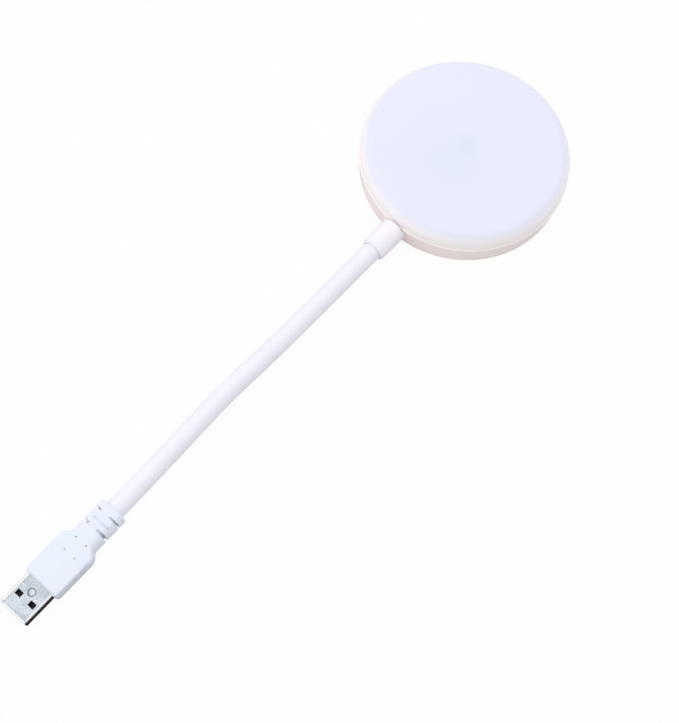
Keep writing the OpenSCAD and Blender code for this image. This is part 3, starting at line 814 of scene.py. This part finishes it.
def paint_recess_shade(grip, plug):
    """Stores how much painted shade each corner of the mesh takes: in the pin marks, and towards the open ends of the
    slots.
    """
    depths = grip.data.attributes.new(RECESS_SHADE, "FLOAT", "POINT")
    for vert, depth in zip(grip.data.vertices, depths.data):
        x, y, z = vert.co
        width, thickness, radius = grip_section(plug, z)
        over = (abs(x) - width / 2 + radius, abs(y) - thickness / 2 + radius)
        inside = radius - math.hypot(max(over[0], 0), max(over[1], 0)) - min(max(over), 0)
        deep = min(max(inside / plug.pin_mark_depth, 0), 1)
        if plug.mouth_round < z < plug.relief_length:
            # Painted shade grows towards the slots' ends, most on the +X side
            aside = min(2 * x / plug.relief_width, 1)
            end = LEFT_END_SHADE if x < 0 else FIRST_END_SHADE if z < plug.last_slot else LAST_END_SHADE
            depth.value = deep * (SLOT_SHADE + end * aside ** 4)
        elif plug.relief_length < z < plug.grip_length - plug.front_round:
            depth.value = deep * MARK_SHADE


def grip_loops(bm, plug):
    """Loops round the strain relief, the shoulders and the grip, from the mouth to the front."""
    loops = []
    steps = ROUND_STEPS
    for i in range(steps + 1):
        turn = math.radians(90 * i / steps)
        inset = plug.mouth_round * (1 - math.sin(turn))
        loops.append(rounded_loop(bm, plug.relief_width - 2 * inset, plug.relief_thickness - 2 * inset,
                                  plug.relief_round - inset, plug.mouth_round * (1 - math.cos(turn))))
    for i in range(2 * steps + 1):
        at = plug.relief_length + plug.shoulder_length * i / (2 * steps)
        loops.append(rounded_loop(bm, *grip_section(plug, at), at))
    for i in range(steps + 1):
        turn = math.radians(90 * i / steps)
        inset = plug.front_round * (1 - math.cos(turn))
        loops.append(rounded_loop(bm, plug.grip_width - 2 * inset, plug.grip_thickness - 2 * inset,
                                  max(plug.grip_round - inset, plug.grip_round / 4),
                                  plug.grip_length - plug.front_round * (1 - math.sin(turn))))
    return loops


def relief_slots(plug):
    """Cutters for the slots of the strain relief: on both sides, and across the top and bottom."""
    tools = []
    reach = plug.relief_width
    for at, width in ((plug.side_slot, plug.slot_width), (plug.last_slot, plug.last_slot_width)):
        for side in (-1, 1):
            x = side * (reach + plug.bridge) / 2 - plug.bridge_aside
            tools.append(block(reach, 2 * reach, width, (x, 0, at + width / 2)))
    middle = (plug.cross_aside, 0, plug.cross_slot + plug.slot_width / 2)
    tools.append(block(plug.cross_length, 2 * reach, plug.slot_width, middle))
    return tools


class LAMP_OT_grip(Operator):
    """Makes the moulded grip of the plug with its slotted strain relief"""

    bl_idname = "lamp.grip"
    bl_label = "Grip"

    def execute(self, context):
        lamp = context.scene.disc_lamp
        plug, neck = lamp.plug, lamp.neck
        bm = bmesh.new()
        loops = grip_loops(bm, plug)
        bridged(bm, loops)
        for end in (loops[0], loops[-1]):
            bmesh.ops.edgeloop_fill(bm, edges=end)
        grip = as_object("plug_grip", bm)
        carve(grip, "DIFFERENCE", relief_slots(plug))
        sleeve_r = neck.neck_d / 2 + plug.sleeve_wall
        sleeve = rod(sleeve_r, plug.side_slot - plug.slot_width, plug.last_slot + 2 * plug.last_slot_width)
        slot_floor = prism(plug.relief_width - 2 * plug.cross_depth, plug.relief_thickness - 2 * plug.cross_depth,
                           plug.relief_round - plug.cross_depth, plug.cross_slot - plug.slot_width,
                           plug.cross_slot + 2 * plug.slot_width)
        carve(grip, "UNION", [sleeve, slot_floor])
        bore = rod(neck.neck_d / 2 + neck.slip, -plug.slot_width, neck.tucked + plug.slot_width)
        marks = []
        for x in (-0.5, 0.5):
            for row in (0, 1):
                pin = rod(plug.pin_mark_d / 2, -plug.pin_mark_depth, plug.grip_thickness)
                at = (x * plug.pin_mark_pair + plug.pin_mark_aside, plug.grip_thickness / 2,
                      plug.pin_mark_place + row * plug.pin_mark_row)
                upright = placed(Vector(at), Vector((0, 1, 0)), Vector((0, 0, 1)))
                bmesh.ops.transform(pin, matrix=upright, verts=pin.verts)
                marks.append(pin)
        pocket = prism(plug.shell_width, plug.shell_thickness, plug.shell_round,
                       plug.grip_length - plug.shell_in, plug.grip_length + plug.shell_in)
        carve(grip, "DIFFERENCE", [bore, pocket] + marks)
        paint_recess_shade(grip, plug)
        grip.data.transform(placed(RELIEF_MOUTH, PLUG_AHEAD, NECK_UP))
        polish(grip, finish("grip_white", grip_plastic(lamp.finish)))
        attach(grip, "plug")
        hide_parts("plug_overmould")
        return {"FINISHED"}


def shell_loops(bm, plug, inset):
    """Loops of the shell's outer or inner face, from inside the grip to the drawn-in tip."""
    straight = PLUG_LENGTH - plug.tip_length
    loops = [rounded_loop(bm, plug.shell_width - 2 * inset, plug.shell_thickness - 2 * inset,
                          plug.shell_round - inset, plug.grip_length - plug.shell_in)]
    for i in range(ROUND_STEPS + 1):
        turn = math.radians(90 * i / ROUND_STEPS)
        drawn = inset + plug.tip_in * (1 - math.cos(turn))
        loops.append(rounded_loop(bm, plug.shell_width - 2 * drawn, plug.shell_thickness - 2 * drawn,
                                  plug.shell_round - inset, straight + plug.tip_length * math.sin(turn)))
    return loops


class LAMP_OT_shell(Operator):
    """Makes the steel shell of the plug with its windows, dimple and drawn-in tip"""

    bl_idname = "lamp.shell"
    bl_label = "Shell"

    def execute(self, context):
        lamp = context.scene.disc_lamp
        plug = lamp.plug
        bm = bmesh.new()
        outside = shell_loops(bm, plug, 0)
        inside = shell_loops(bm, plug, plug.sheet)[::-1]
        bridged(bm, outside + inside + outside[:1])
        shell = as_object("plug_shell_skin", bm)
        tools = [block(plug.window_width, 2 * plug.shell_thickness, plug.window_length,
                       (side * plug.window_pair / 2, 0, PLUG_LENGTH - plug.window_place)) for side in (-1, 1)]
        tools.append(block(plug.seam_width, plug.sheet, PLUG_LENGTH,
                           (0, -plug.shell_thickness / 2, PLUG_LENGTH / 2 + plug.grip_length - plug.shell_in)))
        ball_r = (plug.dimple_d ** 2 / 4 + plug.dimple_depth ** 2) / (2 * plug.dimple_depth)
        ball = bmesh.new()
        bmesh.ops.create_uvsphere(ball, u_segments=TUBE_STEPS, v_segments=4 * TUBE_STEPS, radius=ball_r)
        bmesh.ops.rotate(ball, verts=ball.verts, matrix=Matrix.Rotation(math.pi / 2, 3, "X"))
        centre = (0, plug.shell_thickness / 2 - plug.dimple_depth + ball_r, PLUG_LENGTH - plug.dimple_place)
        bmesh.ops.translate(ball, verts=ball.verts, vec=centre)
        carve(shell, "DIFFERENCE", tools + [ball])
        shell.data.transform(placed(RELIEF_MOUTH, PLUG_AHEAD, NECK_UP))
        polish(shell, finish("shell_steel", steel(lamp.finish, plug)), 25)
        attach(shell, "plug")
        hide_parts("plug_shell")
        return {"FINISHED"}


class LAMP_OT_inner(Operator):
    """Gives the pieces inside the head, the neck and the plug their finishes"""

    bl_idname = "lamp.inner"
    bl_label = "Inner pieces"

    def execute(self, context):
        brass = finish("worked_brass", metal((0.76, 0.60, 0.32), 0.3 * MM, 0.35))
        core = finish("wound_steel", metal((0.45, 0.47, 0.50), 0.4 * MM, 0.4))
        finishes = {
            "led_board": finish("board_white", moulded((0.82, 0.82, 0.78), 0.6 * MM, 0.004 * MM, 0.35)),
            "leds": finish("diode_body", moulded((0.86, 0.80, 0.48), 0.5 * MM, 0.003 * MM, 0.3)),
            "resistors": finish("chip_black", moulded((0.02, 0.02, 0.022), 0.3 * MM, 0.004 * MM, 0.45)),
            "solder_joints": finish("bright_solder", metal((0.70, 0.71, 0.72), 0.6 * MM, 0.3)),
            "board_screws": finish("plated_screw", metal((0.60, 0.61, 0.63), 0.3 * MM, 0.3)),
            "ferrule_nut": brass,
            "core_anchor": brass,
            "plug_inner_mould": finish("mould_ivory", moulded((0.72, 0.66, 0.50), 0.5 * MM, 0.006 * MM, 0.5)),
            "plug_insulator": finish("insulator_black", moulded((0.012, 0.011, 0.013), 0.4 * MM, 0.006 * MM, 0.5)),
            "plug_contacts": finish("contact_gold", contact_gold),
        }
        for name, node in frame["nodes"].items():
            if name.startswith("neck_core"):
                finishes[name] = core
            if name in finishes:
                node.data.materials.clear()
                node.data.materials.append(finishes[name])
        return {"FINISHED"}


# Stage


# Floor: its reach, its drop below the lamp, and the share of plain white that the camera sees
FLOOR_REACH = 6
FLOOR_DROP = 0.05 * MM
FLOOR_WHITE = 0.93

# Light: colour and strength of the room, then place, size and power of each soft light
ROOM_COLOUR = (0.98, 0.97, 1)
ROOM_LEVEL = 0.776
LIGHT_COLOUR = (0.97, 0.98, 1)
KEY_LIGHT = (Vector((-0.4, -0.46, 0.8)), 1.2, 2.2)
FILL_LIGHT = (Vector((0.2, 0.1, 0.95)), 1, 2.4)
LIT_PLACE = Vector((0, -0.1, 0))

# Dark cards: one lies beside the plug, the other stands to the right, out of the head's reach in every pose
PLUG_CARD = Vector((32 * MM, PLUG_TIP.y + 5 * MM, 0.02 * MM))
PLUG_CARD_SIZE = (50 * MM, 50 * MM)
SIDE_CARD = Vector((300 * MM, -190 * MM, 67 * MM))
SIDE_CARD_SIZE = (580 * MM, 134 * MM)

SENSOR_WIDTH = 36
NEAREST_SEEN = 10 * MM


def seen(shade):
    """1 for rays from the camera, and for those that metal and glass reflect or pass on."""
    return sum(shade.node("ShaderNodeLightPath", output=ray) for ray in
               ("Is Camera Ray", "Is Glossy Ray", "Is Transmission Ray"))


class LAMP_OT_stage(Operator):
    """Makes the floor, the light and the camera"""

    bl_idname = "lamp.stage"
    bl_label = "Stage"

    def execute(self, context):
        stage = context.scene.disc_lamp.stage
        context.scene.view_settings.view_transform = "Standard"
        self.floor(stage)
        self.sky(context)
        self.softbox("key", *KEY_LIGHT)
        self.softbox("fill", *FILL_LIGHT)
        self.flag("plug_flag", placed(PLUG_CARD, Vector((0, 0, 1)), Vector((0, 1, 0))), *PLUG_CARD_SIZE, False)
        self.flag("side_flag", placed(SIDE_CARD, Vector((-1, 0, 0)), Vector((0, 0, 1))), *SIDE_CARD_SIZE, True)
        self.camera(context, stage)
        return {"FINISHED"}

    def floor(self, stage):
        bm = bmesh.new()
        lowered = Matrix.Translation((0, 0, -FLOOR_DROP))
        bmesh.ops.create_grid(bm, x_segments=1, y_segments=1, size=FLOOR_REACH, matrix=lowered)
        floor = as_object("floor", bm)
        material = bpy.data.materials.new("pale_floor")
        material.use_nodes = True
        material.node_tree.nodes.clear()
        shade = Shade(material.node_tree)
        matt = shade.node("ShaderNodeBsdfDiffuse", inputs={"Color": rgba(stage.floor)})
        white = shade.node("ShaderNodeEmission", inputs={"Strength": 1})
        shown = shade.node("ShaderNodeLightPath", output="Is Camera Ray")
        lit = shade.node("ShaderNodeMixShader", inputs={0: shown * FLOOR_WHITE, 1: matt, 2: white})
        shade.node("ShaderNodeOutputMaterial", inputs={"Surface": lit})
        floor.data.materials.append(material)

    def flag(self, name, place, width, height, shading):
        """A dark card out of the picture: metal reflects it, and a shading one takes light off one side."""
        bm = bmesh.new()
        size = Matrix.Diagonal((width / 2, height / 2, 1, 1))
        bmesh.ops.create_grid(bm, x_segments=1, y_segments=1, size=1, matrix=place @ size)
        flag = as_object(name, bm)
        flag.visible_camera = flag.visible_transmission = False
        flag.visible_diffuse = flag.visible_shadow = shading
        flag.data.materials.append(finish(name, moulded((0.01, 0.01, 0.01), 1 * MM, 0.01 * MM, 0.9)))

    def sky(self, context):
        world = bpy.data.worlds.new("soft_room")
        context.scene.world = world
        world.use_nodes = True
        world.node_tree.nodes.clear()
        shade = Shade(world.node_tree)
        room = shade.node("ShaderNodeBackground", inputs={"Color": rgba(ROOM_COLOUR), "Strength": ROOM_LEVEL})
        white = shade.node("ShaderNodeBackground", inputs={"Color": (1, 1, 1, 1), "Strength": 1})
        mixed = shade.node("ShaderNodeMixShader", inputs={0: seen(shade), 1: room, 2: white})
        shade.node("ShaderNodeOutputWorld", inputs={"Surface": mixed})

    def softbox(self, name, place, size, power):
        """A square soft light over the lamp. Metal reflects only the key."""
        light = bpy.data.lights.new(name, "AREA")
        light.size = size
        light.energy = power
        light.color = LIGHT_COLOUR
        lamp = bpy.data.objects.new(name, light)
        lamp.location = place
        lamp.visible_glossy = name == "key"
        lamp.rotation_euler = (LIT_PLACE - place).to_track_quat("-Z", "Y").to_euler()
        bpy.context.scene.collection.objects.link(lamp)

    def camera(self, context, stage):
        around, above = stage.azimuth, stage.elevation
        back = Vector((math.sin(around) * math.cos(above), -math.cos(around) * math.cos(above), math.sin(above)))
        right = Vector((math.cos(around), math.sin(around), 0))
        turn = Matrix((right, back.cross(right), back)).transposed().to_4x4() @ Matrix.Rotation(stage.roll, 4, "Z")
        camera = bpy.data.objects.new("camera", bpy.data.cameras.new("camera"))
        camera.data.lens = stage.lens
        camera.data.sensor_width = SENSOR_WIDTH
        camera.data.clip_start = NEAREST_SEEN
        camera.matrix_world = Matrix.Translation(Vector(stage.aim) + back * stage.distance) @ turn
        context.scene.collection.objects.link(camera)
        context.scene.camera = camera


class LAMP_PT_pieces(Panel):
    """Lists the pieces of the lamp"""

    bl_idname = "LAMP_PT_pieces"
    bl_label = "Disc Lamp"
    bl_space_type = "VIEW_3D"
    bl_region_type = "UI"
    bl_category = "Disc Lamp"

    def draw(self, context):
        for operator in OPERATORS:
            self.layout.operator(operator.bl_idname)


SETTINGS = (HeadSettings, NeckSettings, PlugSettings, FinishSettings, StageSettings, LampSettings)
OPERATORS = (LAMP_OT_stage, LAMP_OT_base, LAMP_OT_cover, LAMP_OT_ferrule, LAMP_OT_neck, LAMP_OT_leads,
             LAMP_OT_grip, LAMP_OT_shell, LAMP_OT_inner)


def register():
    for kind in (*SETTINGS, *OPERATORS, LAMP_PT_pieces):
        bpy.utils.register_class(kind)
    bpy.types.Scene.disc_lamp = PointerProperty(type=LampSettings)


def unregister():
    del bpy.types.Scene.disc_lamp
    for kind in reversed((*SETTINGS, *OPERATORS, LAMP_PT_pieces)):
        bpy.utils.unregister_class(kind)


def main():
    register()
    bpy.ops.lamp.stage()
    bpy.ops.lamp.base()
    bpy.ops.lamp.cover()
    bpy.ops.lamp.ferrule()
    bpy.ops.lamp.neck()
    bpy.ops.lamp.leads()
    bpy.ops.lamp.grip()
    bpy.ops.lamp.shell()
    bpy.ops.lamp.inner()


if __name__ == "__main__":
    main()
